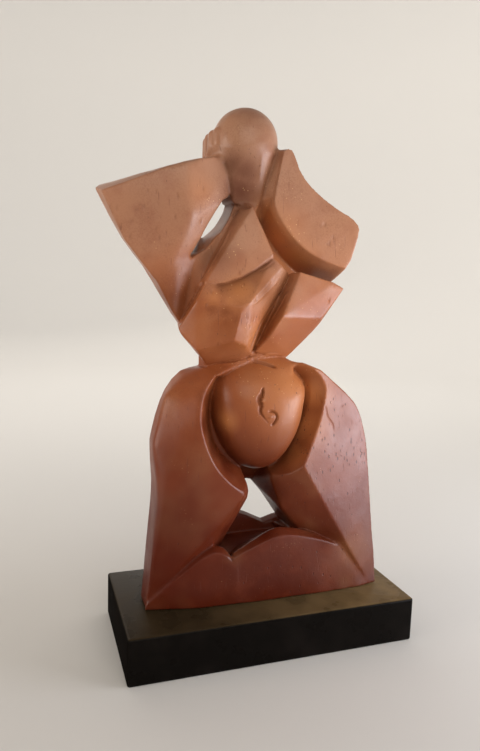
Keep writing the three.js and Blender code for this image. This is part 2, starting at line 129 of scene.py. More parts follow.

# Attributes of the figure's mesh that its material reads, each from 0 to 1: arris, hollow, painted shade,
# painted light and coarse clay
MARKS = ("arris", "hollow", "painted_shade", "painted_light", "coarse")

# Marks in the clay: a place in mm, how far the mark reaches in mm, and its strength. Painted shade
# darkens places, painted light brightens places, and coarse clay shows its pores and specks.
# Painted shade: dark laid where the figure is in shadow, under the head, by the shoulder, below the breast's
# edges, beside the belly, in the recesses and low on the left
PAINTED_SHADE_PLACES = (
    ((-22, -10, 240), 7, 0.6),
    ((-17, -10, 237), 8, 0.7),
    ((-18, -7, 228), 9, 0.8),
    ((-52, -6, 176), 14, 0.6),
    ((-60, -12, 210), 24, 0.16),
    ((-29, -10, 196), 9, 0.6),
    ((-34, -18, 172), 3.5, 0.5),
    ((-28, -21, 171), 3.5, 0.6),
    ((-24, -23, 168), 3.5, 0.5),
    ((-55, -12, 48), 42, 0.75),
    ((-8, 0, 58), 18, 0.7),
    ((0, -14, 26), 24, 0.5),
    ((-6, -16, 96), 16, 0.6),
    ((-50, -14, 100), 26, 0.35),
    ((-35, -15, 129), 5, 0.6),
    ((-36, -16, 117), 6, 0.8),
    ((-31, -14, 104), 7, 0.8),
    ((-23, -12, 94), 7, 0.8),
    ((2, 0, 81), 11, 1),
    ((-10, -13, 94), 5, 1),
    ((-2, -12, 58), 7, 0.8),
    ((33, -16, 52), 8, 0.6),
    ((-8, -19, 181), 6, 0.9),
    ((-22, -10, 60), 7, 0.9),
    ((-18, -22, 160), 5, 0.35),
    ((-26, -22, 166), 9, 0.4),
)
COARSE_PLACES = (
    ((42, -12, 98), 34, 1),
    ((24, -16, 34), 30, 0.5),
)
# Painted light: paler clay laid on faces that stand in shade or catch light, to brighten them
PAINTED_LIGHT_PLACES = (
    ((6, -17, 132), 20, 0.7),
    ((-14, -20, 160), 9, 0.6),
    ((-12, -18, 180), 14, 0.4),
    ((38, -12, 198), 24, 0.2),
    ((3, -4, 208), 11, 0.9),
    ((12, -3, 199), 11, 1),
    ((-2, -5, 217), 8, 0.9),
    ((22, -10, 130), 9, 0.95),
    ((20, -12, 114), 10, 0.65),
    ((14, -13, 100), 8, 0.4),
    ((-24, -16, 119), 5.5, 0.75),
    ((-21, -20, 181), 8, 0.9),
    ((-33, -18, 178), 4, 0.6),
    ((-26, -21, 177), 3.5, 0.7),
    ((-12, -20, 187), 7, 0.4),
    ((-28, 7, 210), 7, 1),
    ((-32, 0, 204), 6, 0.8),
    ((-40, -14, 225), 9, 0.3),
    ((-18, -23, 163), 5, 0.5),
    ((50, -16, 44), 15, 0.15),
)

PLINTH_EDGE = 1.4 * MM


def linear(hex_colour):
    """An sRGB hex colour as linear red, green, blue and a full alpha."""
    srgb = np.array([int(hex_colour[i:i + 2], 16) for i in (1, 3, 5)]) / 255
    rgb = np.where(srgb <= 0.04045, srgb / 12.92, ((srgb + 0.055) / 1.055) ** 2.4)
    return (*rgb, 1.0)


# The output that a link takes from a node of these kinds. From any other it takes the first.
MAIN_OUTPUTS = {"ShaderNodeMix": 2, "ShaderNodeAttribute": 2}


def set_sockets(tree, node, sockets):
    """Gives each of a node's sockets a value, an output that is linked to it, or a node's main output."""
    for socket, value in sockets.items():
        if isinstance(value, bpy.types.Node):
            value = value.outputs[MAIN_OUTPUTS.get(value.bl_idname, 0)]
        if isinstance(value, bpy.types.NodeSocket):
            tree.links.new(value, node.inputs[socket])
        else:
            node.inputs[socket].default_value = value


def add_node(tree, kind, sockets=None, **settings):
    """Adds a shader node of a kind, with its settings and sockets."""
    node = tree.nodes.new("ShaderNode" + kind)
    for name, value in settings.items():
        setattr(node, name, value)
    set_sockets(tree, node, sockets or {})
    return node


# Meshes

def mesh_object(name, points, faces):
    """An object with a smooth-shaded mesh of these points and faces."""
    mesh = bpy.data.meshes.new(name)
    mesh.from_pydata(points, [], faces)
    mesh.shade_smooth()
    made = bpy.data.objects.new(name, mesh)
    bpy.context.scene.collection.objects.link(made)
    return made


def apply_modifier(made, kind, **settings):
    """Gives the object the mesh that one modifier makes of it."""
    modifier = made.modifiers.new(kind, kind)
    for name, value in settings.items():
        setattr(modifier, name, value)
    graph = bpy.context.evaluated_depsgraph_get()
    made.data = bpy.data.meshes.new_from_object(made.evaluated_get(graph))
    made.modifiers.clear()
    made.data.shade_smooth()


def rows_of(collection, name, width, kind=float):
    """One property of every item in a mesh's collection, one row each."""
    flat = np.empty(len(collection) * width, kind)
    collection.foreach_get(name, flat)
    return flat.reshape(-1, width)


def set_points(mesh, points):
    """Moves the mesh's points."""
    mesh.vertices.foreach_set("co", points.ravel())
    mesh.update()


def merged_node(name):
    """A CAD node's loose triangles as shared points and faces."""
    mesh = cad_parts[name].data
    mesh.calc_loop_triangles()
    corners = rows_of(mesh.loop_triangles, "vertices", 3, int)
    points = rows_of(mesh.vertices, "co", 3)
    finest = 1e-6
    _, first, shared = np.unique(
        np.round(points / finest).astype(int), axis=0, return_index=True, return_inverse=True)
    triangles = shared.ravel()[corners]
    whole = (triangles != np.roll(triangles, 1, axis=1)).all(axis=1)
    return points[first], triangles[whole]


def grid_faces(rows, columns):
    """Quads of a grid whose columns close on themselves. Rows run from pole to pole."""
    row, column = np.meshgrid(np.arange(rows - 1), np.arange(columns), indexing="ij")
    after = (column + 1) % columns
    start, below = row * columns, (row + 1) * columns
    quads = [start + column, start + after, below + after, below + column]
    return np.stack([corner.ravel() for corner in quads], axis=1)


def put_together(parts):
    """One list of points and one list of faces from several."""
    points, faces, count = [], [], 0
    for part_points, part_faces in parts:
        points.append(part_points)
        faces += (np.asarray(part_faces) + count).tolist()
        count += len(part_points)
    return np.concatenate(points), faces


# Smooth forms of the figure

def belly_reach(angle):
    """The reach of the belly's outline: a superellipse above, an ellipse below, a bell curve per swell."""
    power = np.where(angle > 0, BELLY_TOP_SQUARENESS, 2.0)
    reach = (np.abs(np.cos(angle)) ** power + np.abs(np.sin(angle)) ** power) ** (-1 / power)
    for middle, share, spread in BELLY_SWELLS:
        reach = reach + share * np.exp(-((angle - middle) / spread) ** 2)
    return reach


def belly():
    """The belly, a closed egg.

    Its two parameters are the way from the middle of the front over the outline to the middle of the back,
    and the angle in the front view. The share of the outline's reach is the sine of the first, and the depth
    is a superellipse of that share.
    """
    pole, rows, columns = 0.004, 130, 220
    fall = np.linspace(pole, np.pi - pole, rows)[:, None]
    angle = np.linspace(-np.pi, np.pi, columns, endpoint=False)[None, :]
    share, reach = np.sin(fall), belly_reach(angle)
    bulge = (1 - share ** BELLY_FRONT_SQUARENESS) ** (1 / BELLY_FRONT_SQUARENESS)
    up = share * reach * np.sin(angle)
    across = share * reach * np.cos(angle) * (1 + BELLY_TAPER * up)
    depth = np.where(fall < np.pi / 2, -BELLY_RADII_MM[1], BELLY_BACK_MM) * bulge
    points = np.stack([
        BELLY_CENTRE_MM[0] + BELLY_RADII_MM[0] * across,
        BELLY_CENTRE_MM[1] + depth + 0 * angle,
        BELLY_CENTRE_MM[2] + BELLY_RADII_MM[2] * up,
    ], axis=-1)
    return points.reshape(-1, 3) * MM, grid_faces(*up.shape)


def skull():
    """The skull: an ellipsoid, stretched below its middle, cut off level at the brow and closed there."""
    pole, rows, columns, closed = 0.01, 80, 200, 0.001
    brow_fall = np.arccos((BROW_MM - SKULL_CENTRE_MM[2]) / (SKULL_RADII_MM[2] * SKULL_LOWER_STRETCH))
    fall = np.append(np.linspace(pole, brow_fall, rows), brow_fall)[:, None]
    angle = np.linspace(0, 2 * np.pi, columns, endpoint=False)[None, :]
    share = np.sin(fall)
    share[-1] = closed
    rise = np.cos(fall) * np.where(fall > np.pi / 2, SKULL_LOWER_STRETCH, 1)
    points = np.stack([
        SKULL_CENTRE_MM[0] + SKULL_RADII_MM[0] * share * np.cos(angle),
        SKULL_CENTRE_MM[1] + SKULL_RADII_MM[1] * share * np.sin(angle),
        SKULL_CENTRE_MM[2] + SKULL_RADII_MM[2] * rise + 0 * angle,
    ], axis=-1)
    faces = grid_faces(len(fall), angle.size)[:, ::-1]
    return points.reshape(-1, 3) * MM, faces


def lump():
    """A ball of clay, by the angle down from its top and the angle round."""
    pole, rows, columns = 0.01, 20, 30
    fall = np.linspace(pole, np.pi - pole, rows)[:, None]
    angle = np.linspace(0, 2 * np.pi, columns, endpoint=False)[None, :]
    unit = np.stack([
        np.sin(fall) * np.cos(angle), np.sin(fall) * np.sin(angle), np.cos(fall) + 0 * angle,
    ], axis=-1)
    points = (np.array(LUMP_CENTRE_MM) + LUMP_RADIUS_MM * unit.reshape(-1, 3)) * MM
    return points, grid_faces(len(fall), angle.size)[:, ::-1]


# Wear

def neighbour_mean(values, edges):
    """The mean of each point's neighbours, for rows of values."""
    ends = np.concatenate([edges, edges[:, ::-1]])
    count = np.bincount(ends[:, 0], minlength=len(values))
    sums = [np.bincount(ends[:, 0], column[ends[:, 1]], len(values)) for column in values.T]
    return np.stack(sums, axis=1) / np.maximum(count, 1)[:, None]


def distance_to(points, line):
    """Each point's distance to a line through places: the least of those to its straight stretches."""
    least = np.full(len(points), np.inf)
    for start, end in zip(line[:-1], line[1:]):
        stretch = end - start
        share = np.clip((points - start) @ stretch / (stretch @ stretch), 0, 1)[:, None]
        least = np.minimum(least, np.linalg.norm(points - start - share * stretch, axis=1))
    return least


def softness(points):
    """How much each point is rubbed: 1 within half a soft place's reach, falling to 0 at its reach."""
    soft = np.zeros(len(points))
    for places, reach in SOFT_PLACES:
        away = distance_to(points, np.array(places) * MM) / (reach * MM)
        soft = np.maximum(soft, np.clip(2 - 2 * away, 0, 1))
    return soft


def near_places(points, places):
    """The strongest mark at each point: its strength times a bell curve of the distance over its reach."""
    return np.max([
        strength * np.exp(-((points - np.array(place) * MM) ** 2).sum(axis=1) / (reach * MM) ** 2)
        for place, reach, strength in places
    ], axis=0)


def gentle_turns(points, normals, edges):
    """1 where the surface is flat or turns gently, 0 at an arris and close beside it.

    The turn is how far a point's normal departs from the mean of its neighbourhood's normals.
    """
    around = normals
    for _ in range(ARRIS_AROUND_PASSES):
        around = neighbour_mean(around, edges)
    around /= np.linalg.norm(around, axis=1)[:, None]
    turn = np.arccos(np.clip((around * normals).sum(axis=1), -1, 1))
    sharp = np.clip((turn - ARRIS_TURN) / ARRIS_TURN_RANGE, 0, 1)[:, None]
    for _ in range(ARRIS_SPREAD_PASSES):
        sharp = np.maximum(sharp, ARRIS_SPREAD_GAIN * neighbour_mean(sharp, edges)).clip(0, 1)
    return 1 - sharp[:, 0]


def rub(points, edges, share, passes):
    """Moves each point by its share of the way to its neighbours' mean, pass after pass.

    Only the points with a share, and their neighbours, are worked on.
    """
    used = np.zeros(len(points), bool)
    used[edges[(share[edges] > 0).any(axis=1)]] = True
    index = np.cumsum(used) - 1
    near = index[edges[used[edges].all(axis=1)]]
    part, part_share = points[used], share[used, None]
    for _ in range(passes):
        part = part + part_share * (neighbour_mean(part, near) - part)
    worn = points.copy()
    moves = share[used] > 0
    worn[np.flatnonzero(used)[moves]] = part[moves]
    return worn


# Carving

def smooth_line(places, steps=8):
    """A Catmull-Rom curve in metres through places in mm, with this many steps from place to place."""
    known = np.array(places, float) * MM
    padded = np.concatenate([[2 * known[0] - known[1]], known, [2 * known[-1] - known[-2]]])
    t = np.linspace(0, 1, steps, endpoint=False)[:, None]
    stretches = [
        0.5 * (
            2 * b + (c - a) * t + (2 * a - 5 * b + 4 * c - d) * t ** 2 + (3 * b - a - 3 * c + d) * t ** 3
        )
        for a, b, c, d in zip(padded[:-3], padded[1:-2], padded[2:-1], padded[3:])
    ]
    return np.concatenate([*stretches, known[-1:]])


def along_line(points, line):
    """For each point: its distance from the line, the share of the line's length passed, and its side.

    The side is the distance from the stretch in the front view, in X and Z alone, positive on the right of
    a walk along the line.
    """
    lengths = np.linalg.norm(np.diff(line, axis=0), axis=1)
    passed = np.concatenate([[0], np.cumsum(lengths)]) / lengths.sum()
    best = np.full(len(points), np.inf)
    share_best, side_best = np.zeros(len(points)), np.zeros(len(points))
    for i, (start, end) in enumerate(zip(line[:-1], line[1:])):
        stretch = end - start
        share = np.clip((points - start) @ stretch / (stretch @ stretch), 0, 1)
        offset = points - start - share[:, None] * stretch
        away = np.linalg.norm(offset, axis=1)
        nearer = away < best
        side = (stretch[2] * offset[:, 0] - stretch[0] * offset[:, 2]) / np.hypot(stretch[0], stretch[2])
        best = np.where(nearer, away, best)
        share_best = np.where(nearer, passed[i] + share * (passed[i + 1] - passed[i]), share_best)
        side_best = np.where(nearer, side, side_best)
    return best, share_best, side_best


def fade(share, ends):
    """1 along the middle of a line, easing to 0 over a share of its length at each end."""
    ease = np.clip(np.minimum(share, 1 - share) / ends, 0, 1)
    return ease * ease * (3 - 2 * ease)


def groove(points, places, width, depth, ends=0.15):
    """A groove with the section of a bell curve. A negative depth raises a ridge."""
    away, share, _ = along_line(points, smooth_line(places))
    return -depth * MM * np.exp(-(away / (width * MM)) ** 2) * fade(share, ends)


def step(points, places, drop, reach, lip):
    """A step: below the line the surface drops at once, and comes back over the reach."""
    away, share, side = along_line(points, smooth_line(places))
    below = np.clip(side / (lip * MM), 0, 1) * np.exp(-np.maximum(side, 0) / (reach * MM))
    near = away < 4 * reach * MM
    return -drop * MM * below * fade(share, 0.12) * near


def gouge(points, places, width, depth, wall):
    """A leaf-shaped gouge: it slopes down from its left to a line, where a steep wall stands on the right.

    Its width and depth follow a half sine along the line, leaning to the line's far end.
    """
    away, share, side = along_line(points, smooth_line(places))
    leaf = np.sin(np.pi * np.clip(share, 0, 1) ** 1.6)
    slope = np.clip(1 + side / (width * MM * (0.2 + 0.8 * leaf)), 0, 1) ** 0.6
    rise = np.clip(1 - side / (wall * MM), 0, 1)
    near = (away < 2 * width * MM) & (share > 0) & (share < 1)
    return -depth * MM * leaf ** 0.5 * np.where(side < 0, slope, rise) * near


def pits(points, seed, middle, spread, count):
    """Pores, bell curves in section, at random surface points that are normally spread round a middle."""
    draw = np.random.default_rng(seed)
    wanted = draw.normal(middle, spread, (count, 3)) * MM
    sizes = PORE_RADIUS_MM * MM * draw.uniform(*PORE_SIZES, count)
    sunk = np.zeros(len(points))
    reach = 2.6 * np.array(spread) * MM
    near = np.flatnonzero((np.abs(points - np.array(middle) * MM) < reach).all(axis=1))
    for place, size in zip(wanted, sizes):
        centre = points[near[np.argmin(((points[near] - place) ** 2).sum(axis=1))]]
        away = (points[near] - centre) / np.array([size, size, PORE_STRETCH * size])
        sunk[near] -= PORE_DEPTH_MM * MM * (size / (PORE_RADIUS_MM * MM)) * np.exp(-(away ** 2).sum(axis=1))
    return sunk


def hand_work(points):
    """The gentle waviness of a surface worked by hand: a sum of sine waves in random directions."""
    draw = np.random.default_rng(7)
    height = np.zeros(len(points))
    for _ in range(WAVE_COUNT):
        direction = draw.normal(size=3)
        direction /= np.linalg.norm(direction)
        length = draw.uniform(*WAVE_LENGTHS_MM) * MM
        height += length * np.sin(2 * np.pi * points @ direction / length + draw.uniform(0, 2 * np.pi))
    return WAVE_HEIGHT * height


# Lines between the fingers, and arrises of the breast that the knife left proud
FINGER_LINES = (
    ((-32, -3.8, 253.6), (-31.6, -3.2, 245.1)),
    ((-30.8, -6.4, 253.6), (-29.4, -4, 245.2)),
    ((-29.1, -7.3, 252.7), (-28.3, -7, 245.2)),
)
BREAST_ARRISES = (
    ((-39.2, -15.2, 176.2), (-30, -20.3, 174.3), (-22.1, -24.7, 172.8)),
    ((-22.1, -24.7, 172.8), (-12.6, -21.4, 176.5), (-3.9, -16.5, 183.2), (1.8, -13.5, 188.7)),
    ((-22.1, -24.7, 172.2), (-22.7, -24.2, 167.6), (-24.7, -22.3, 157.2)),
)

# Fine carving: the tool, the places in mm that its line goes through, and the tool's own sizes in mm
CARVED_LINES = (
    # Navel: a gouge, and a narrow groove that makes its wall wavy
    (gouge, (
        (-7.2, -24.1, 119.2), (-9, -23.7, 122), (-9.9, -23.4, 124.2), (-9.2, -23.1, 126.6),
        (-9.6, -22.7, 129.4), (-8.6, -22.2, 131.6), (-8.4, -21.4, 135.2),
    ), {"width": 2.8, "depth": 1.25, "wall": 0.3}),
    (groove, (
        (-7.5, -21.2, 135.6), (-8.6, -21.8, 134.3), (-8.5, -22.2, 131.6), (-9.5, -22.7, 129.3),
        (-9.1, -23.1, 126.6), (-9.9, -23.4, 124), (-8.9, -23.7, 121.7), (-7.1, -24.1, 119.4),
        (-5.9, -24.3, 117.6),
    ), {"width": 0.42, "depth": 0.75, "ends": 0.1}),
    # Hook beside the navel, and the knob inside it
    (groove, (
        (-6.6, -24.3, 123.4), (-5.1, -24.3, 123.9), (-3, -24.3, 123.1), (-1.9, -24.3, 121.1),
        (-2.9, -24.4, 118.7), (-4.9, -24.4, 116.8),
    ), {"width": 0.5, "depth": 1.2}),
    (groove, ((-6, -24.4, 122), (-4.9, -24.4, 120.2)), {"width": 1.0, "depth": -0.45, "ends": 0.4}),
    # Arris down the right side of the head
    (groove, (
        (-10.6, -14.6, 246.5), (-10.2, -12, 238), (-9.6, -8.6, 229.5),
    ), {"width": 1.2, "depth": -0.4, "ends": 0.3}),
    # Line under the chin
    (groove, (
        (-20, -0.2, 223.3), (-18.4, -4.6, 221.5), (-16, -6.8, 220.9), (-14.2, -9.5, 220.7),
        (-10.2, -6.2, 222.3),
    ), {"width": 0.8, "depth": 0.9}),
    # Curved step under the chest, with a groove along it, doubled at its upper end
    (step, (
        (-33.4, -14.9, 183.8), (-29.8, -15.5, 184.3), (-25.1, -16.2, 185.5), (-20.3, -16.6, 187.3),
        (-16.3, -16.5, 189.4), (-11.8, -16.3, 191.9), (-7.2, -15.8, 194.9), (-1.7, -15, 198.2),
    ), {"drop": 1.1, "reach": 3.0, "lip": 0.4}),
    (groove, (
        (-27, -16, 185), (-20.3, -16.6, 187.1), (-16.3, -16.5, 189.2), (-11.8, -16.3, 191.7),
        (-7.2, -15.8, 194.7), (-1.7, -15, 198),
    ), {"width": 0.45, "depth": 0.5}),
    (groove, (
        (-1.7, -14.9, 195.5), (-6.6, -17.2, 192.8), (-11.6, -17.3, 190.3),
    ), {"width": 0.5, "depth": 0.4}),
    # Fine ridge along the valley between the shoulder and the chest
    (groove, (
        (-21, -6, 214), (-25.9, -9.3, 204.2), (-28.5, -9.9, 199.8), (-31.6, -10.6, 194.6),
        (-34.7, -11.1, 189.1), (-37.8, -7.6, 181.9), (-41.9, -7.1, 175.4), (-45.1, -5.7, 168.7),
    ), {"width": 0.55, "depth": -0.4}),
    # Groove between the breasts, and the ridge beside it
    (groove, (
        (8.1, -6.9, 187.5), (5.3, -8.3, 183), (0.7, -11, 177), (-4.5, -13.9, 171.2), (-9.1, -15.8, 164.4),
        (-12.2, -15.3, 156.1), (-13, -13.6, 151.1),
    ), {"width": 0.7, "depth": 0.7}),
    (groove, (
        (6, -14.2, 182.1), (2.7, -13.8, 176.2), (-0.5, -13.2, 170.2), (-3.7, -12.6, 164.3),
        (-6.6, -12.5, 158.8),
    ), {"width": 0.6, "depth": -0.35}),
    # Ridge at the waist, and the lens-shaped fold of the hip below it
    (groove, (
        (-32.7, -7, 144.3), (-24.8, -11, 145.7), (-18.9, -11.9, 146.7), (-12.7, -10.9, 148.2),
        (-5.2, -9.8, 149.7), (-0.1, -10.4, 150.3), (7.2, -8.4, 149.5),
    ), {"width": 0.6, "depth": -0.35}),
    (groove, (
        (-12, -11.7, 147.4), (-8.1, -12, 146.7), (-5.1, -12.6, 146), (-2.3, -13.6, 145),
        (1.2, -14.5, 143.8),
    ), {"width": 0.9, "depth": 1.5, "ends": 0.2}),
    *((groove, line, {"width": 0.6, "depth": -0.25}) for line in BREAST_ARRISES),
    *((groove, line, {"width": 0.6, "depth": 0.14}) for line in FINGER_LINES),
    # Soft ridge down the left side of the skull
    (groove, (
        (-22, -6, 264), (-25.8, -8.6, 259.4), (-27.1, -10.3, 252.3), (-26.8, -9.8, 246.5),
    ), {"width": 2.2, "depth": -0.45, "ends": 0.3}),
    # Drying crack on the right thigh
    (groove, (
        (25.3, -12.1, 130.7), (26.3, -14.1, 126.3), (28.5, -15.8, 123), (29.9, -15.9, 118.2),
        (33.3, -15.2, 113.8), (34, -15.4, 109.5),
    ), {"width": 0.4, "depth": 0.3}),
)

# Open pores in the left arm, the left breast and the right arm: the seed of their draw, their middle and
# spread in mm, and how many
PITTED_PLACES = (
    (12, (-62, -13, 218), (12, 6, 9), 26),
    (13, (-25, -20, 172), (14, 8, 10), 16),
    (14, (24, -13, 200), (12, 8, 14), 12),
)


def carving(points):
    """The depth of all fine carving at each point, in metres, outwards positive."""
    depth = np.zeros(len(points))
    for tool, line, sizes in CARVED_LINES:
        depth += tool(points, line, **sizes)
    for seed, middle, spread, count in PITTED_PLACES:
        depth += pits(points, seed, middle, spread, count)
    return depth


def note_wear_and_painted_light(mesh):
    """Stores on the mesh, from 0 to 1 at each point, its arris, its hollow, and the places of painted shade,
    painted light and coarse clay.

    An arris stands out of its neighbours' mean along its normal, measured in edge lengths. A hollow lies
    below it, or is cut by the carving.
    """
    points, edges = rows_of(mesh.vertices, "co", 3), rows_of(mesh.edges, "vertices", 2, int)
    normals = rows_of(mesh.vertices, "normal", 3)
    length = np.linalg.norm(points[edges[:, 0]] - points[edges[:, 1]], axis=1)
    typical = neighbour_mean(np.ones((len(points), 1)), edges) * length.mean()
    proud = ((points - neighbour_mean(points, edges)) * normals).sum(axis=1)[:, None] / typical
    for _ in range(3):
        proud = 0.5 * proud + 0.5 * neighbour_mean(proud, edges)
    cut = -carving(points) / (HOLLOW_DEPTH_MM * MM)
    marks = (
        proud[:, 0] / ARRIS_PROUD, np.maximum(-proud[:, 0] / ARRIS_PROUD, cut),
        # Places of painted shade and painted light
        near_places(points, PAINTED_SHADE_PLACES), near_places(points, PAINTED_LIGHT_PLACES),
        near_places(points, COARSE_PLACES),
    )
    for name, values in zip(MARKS, marks):
        clipped = np.clip(values, 0, 1).astype(np.float32)
        mesh.attributes.new(name, "FLOAT", "POINT").data.foreach_set("value", clipped)


# Camera and stage

def make_camera():
    """The photograph's camera: it looks along +Y, turned to +X by the yaw and down by the pitch, rolled."""
    pitch, yaw, roll = np.radians([CAMERA_PITCH, CAMERA_YAW, CAMERA_ROLL])
    ahead = np.array([np.sin(yaw) * np.cos(pitch), np.cos(yaw) * np.cos(pitch), -np.sin(pitch)])
    level = np.array([np.cos(yaw), -np.sin(yaw), 0])
    upright = np.cross(level, ahead)
    right = np.cos(roll) * level + np.sin(roll) * upright
    up = np.cos(roll) * upright - np.sin(roll) * level
    data = bpy.data.cameras.new("camera")
    data.sensor_width = SENSOR_MM
    data.lens = SENSOR_MM * FOCAL_PIXELS / IMAGE_HEIGHT
    camera = bpy.data.objects.new("camera", data)
    turned = Matrix(np.stack([right, up, -ahead], axis=1).tolist()).to_4x4()
    camera.matrix_world = Matrix.Translation([MM * c for c in CAMERA_PLACE_MM]) @ turned
    bpy.context.scene.collection.objects.link(camera)
    bpy.context.scene.camera = camera


def make_floor():
    """A pale floor, flat round the object and swept up at its rim: a profile turned about the Z axis."""
    flat, sweep, wall = 1.1, 0.9, 1.4
    bend = np.linspace(0, np.pi / 2, 24)
    reach = np.concatenate([[0.001, 0.3, 0.7], flat + sweep * np.sin(bend), [flat + sweep]])
    height = np.concatenate([[0, 0, 0], sweep * (1 - np.cos(bend)), [sweep + wall]])
    columns = 96
    turn = np.linspace(0, 2 * np.pi, columns, endpoint=False)
    points = np.stack([
        reach[:, None] * np.cos(turn), reach[:, None] * np.sin(turn),
        np.repeat(height[:, None], columns, axis=1),
    ], axis=-1).reshape(-1, 3)
    floor = mesh_object("floor", points, grid_faces(len(reach), columns).tolist())
    matt = bpy.data.materials.new("pale_paper_backdrop")
    matt.use_nodes = True
    shader = matt.node_tree.nodes["Principled BSDF"]
    shader.inputs["Base Color"].default_value = linear("#DCD9D4")
    shader.inputs["Roughness"].default_value = 0.9
    shader.inputs["Specular IOR Level"].default_value = 0.2
    floor.data.materials.append(matt)


def make_light(name, place, target, size, watts, colour):
    """A rectangular soft box at a place, turned to its target. Its size is width and height."""
    data = bpy.data.lights.new(name, "AREA")
    data.shape = "RECTANGLE"
    data.size, data.size_y = size
    data.energy = watts
    data.color = linear(colour)[:3]
    light = bpy.data.objects.new(name, data)
    light.visible_camera = False
    away = np.array(place) - np.array(target)
    side = np.cross([0, 0, 1], away)
    axes = [side / np.linalg.norm(side), None, away / np.linalg.norm(away)]
    axes[1] = np.cross(axes[2], axes[0])
    light.matrix_world = Matrix.Translation(place) @ Matrix(np.stack(axes, axis=1).tolist()).to_4x4()
    bpy.context.scene.collection.objects.link(light)


def make_lights():
    """A low key on the right, soft boxes in front, on the left and behind, a lit backdrop, a pale sky."""
    middle = (0, 0, 0.14)
    make_light("key", (0.43, -0.24, 0.1), (0, 0, 0.12), (0.36, 0.18), 2.75, "#F1F4FF")
    make_light("fill", (-0.1, -1.0, 0.7), middle, (1.0, 0.6), 4.2, "#FFF6EC")
    make_light("side_fill", (-1.1, -0.1, 0.22), middle, (0.7, 0.4), 6.2, "#FFF6EC")
    make_light("back_fill", (-0.2, 1.2, 0.6), middle, (1.5, 0.6), 2.2, "#FFF9F2")
    make_light("backdrop_light", (0.6, 0.3, 1.1), (0.85, 1.9, 0.45), (2.4, 1.0), 19, "#FAF8F6")
    world = bpy.data.worlds.new("sky")
    world.use_nodes = True
    world.node_tree.nodes["Background"].inputs["Color"].default_value = linear("#F2F0EE")
    world.node_tree.nodes["Background"].inputs["Strength"].default_value = 0.32
    bpy.context.scene.world = world
    bpy.context.scene.view_settings.view_transform = "Standard"


# Materials

# Burnished clay: its colour from the base up, by share of its height, darker and redder towards the base
# partly as painted shade
CLAY_COLOURS = (
    (0, "#4A1807"), (0.22, "#682C16"), (0.42, "#854324"),
    (0.6, "#A05B33"), (0.72, "#AA7658"), (1, "#A1785F"),
)

# Burnished clay: its noise patterns, each with the size of its patches in mm and its levels of finer detail
CLAY_PATTERNS = {
    "regions": (38, 3),
    "dusty": (26, 2),
    "patches": (19, 2),
    "sandy": (15, 2),
    "waxed": (11, 3),
    "fired": (9, 4),
    "pored": (9, 3),
    "planed": (4.5, 3),
    "handled": (3, 3),
    "grain": (0.8, 3),
    "specks": (0.75, 3),
}

# Pores, grog and scratches are drawn coarser than real ones, which are too fine to show in the render
PORE_SPACING_MM = 1.9
GROG_SPACING_MM = 1.7
SCRATCH_SPACING_MM = 0.9

# Painted wood: the spacing of its grain, the size of its scuffs, and how much rougher its matt ends are
GRAIN_SPACING_MM = 1.3
SCUFF_SIZE_MM = 14
DULL_END = 0.5


def clay_patterns(tree, place):
    """The clay's noise patterns by name."""
    return {
        name: add_node(tree, "TexNoise", {"Vector": place, "Scale": PER_MM / size, "Detail": detail})
        for name, (size, detail) in CLAY_PATTERNS.items()
    }


def clay_level(tree, place, pattern):
    """The share of the figure's height, wandering by up to 14 mm, that the clay's colour is read at."""
    height = add_node(tree, "SeparateXYZ", {"Vector": place}).outputs["Z"]
    wander = add_node(tree, "MapRange", {
        "Value": pattern["regions"], "From Min": 0.3, "From Max": 0.7,
        "To Min": -14 * MM, "To Max": 14 * MM,
    }, interpolation_type="SMOOTHSTEP")
    wandering = add_node(tree, "Math", {0: height, 1: wander}, operation="ADD")
    return add_node(tree, "MapRange", {"Value": wandering, "From Min": 20 * MM, "From Max": 270 * MM})


def clay_tone_and_shade(tree, level):
    """The clay's colour at its level: dark and red at the base, paler and dustier towards the head. The
    darkening towards the base is partly painted shade.
    """
    ramp = add_node(tree, "ValToRGB", {"Fac": level})
    while len(ramp.color_ramp.elements) < len(CLAY_COLOURS):
        ramp.color_ramp.elements.new(0.5)
    for element, (position, colour) in zip(ramp.color_ramp.elements, CLAY_COLOURS):
        element.position = position
        element.color = linear(colour)
    return ramp


def clay_mottle(tree, pattern, coarse):
    """How much the clay is reddened, dusted and specked. Coarse clay has more specks."""
    reddened = add_node(tree, "MapRange", {
        "Value": pattern["fired"], "From Min": 0.45, "From Max": 0.75, "To Max": 0.25,
    }, interpolation_type="SMOOTHSTEP")
    dusted = add_node(tree, "MapRange", {
        "Value": pattern["dusty"], "From Min": 0.5, "From Max": 0.8, "To Max": 0.18,
    }, interpolation_type="SMOOTHSTEP")
    patches = add_node(tree, "Math", {0: coarse, 1: 0.2, 2: pattern["patches"]}, operation="MULTIPLY_ADD")
    strength = add_node(tree, "MapRange", {
        "Value": patches, "From Min": 0.4, "From Max": 0.75, "To Min": 0.08, "To Max": 0.3,
    }, interpolation_type="SMOOTHSTEP")
    specks = add_node(tree, "MapRange", {
        "Value": pattern["specks"], "From Min": 0.4, "From Max": 0.7,
    }, interpolation_type="SMOOTHSTEP")
    return reddened, dusted, add_node(tree, "Math", {0: specks, 1: strength}, operation="MULTIPLY")


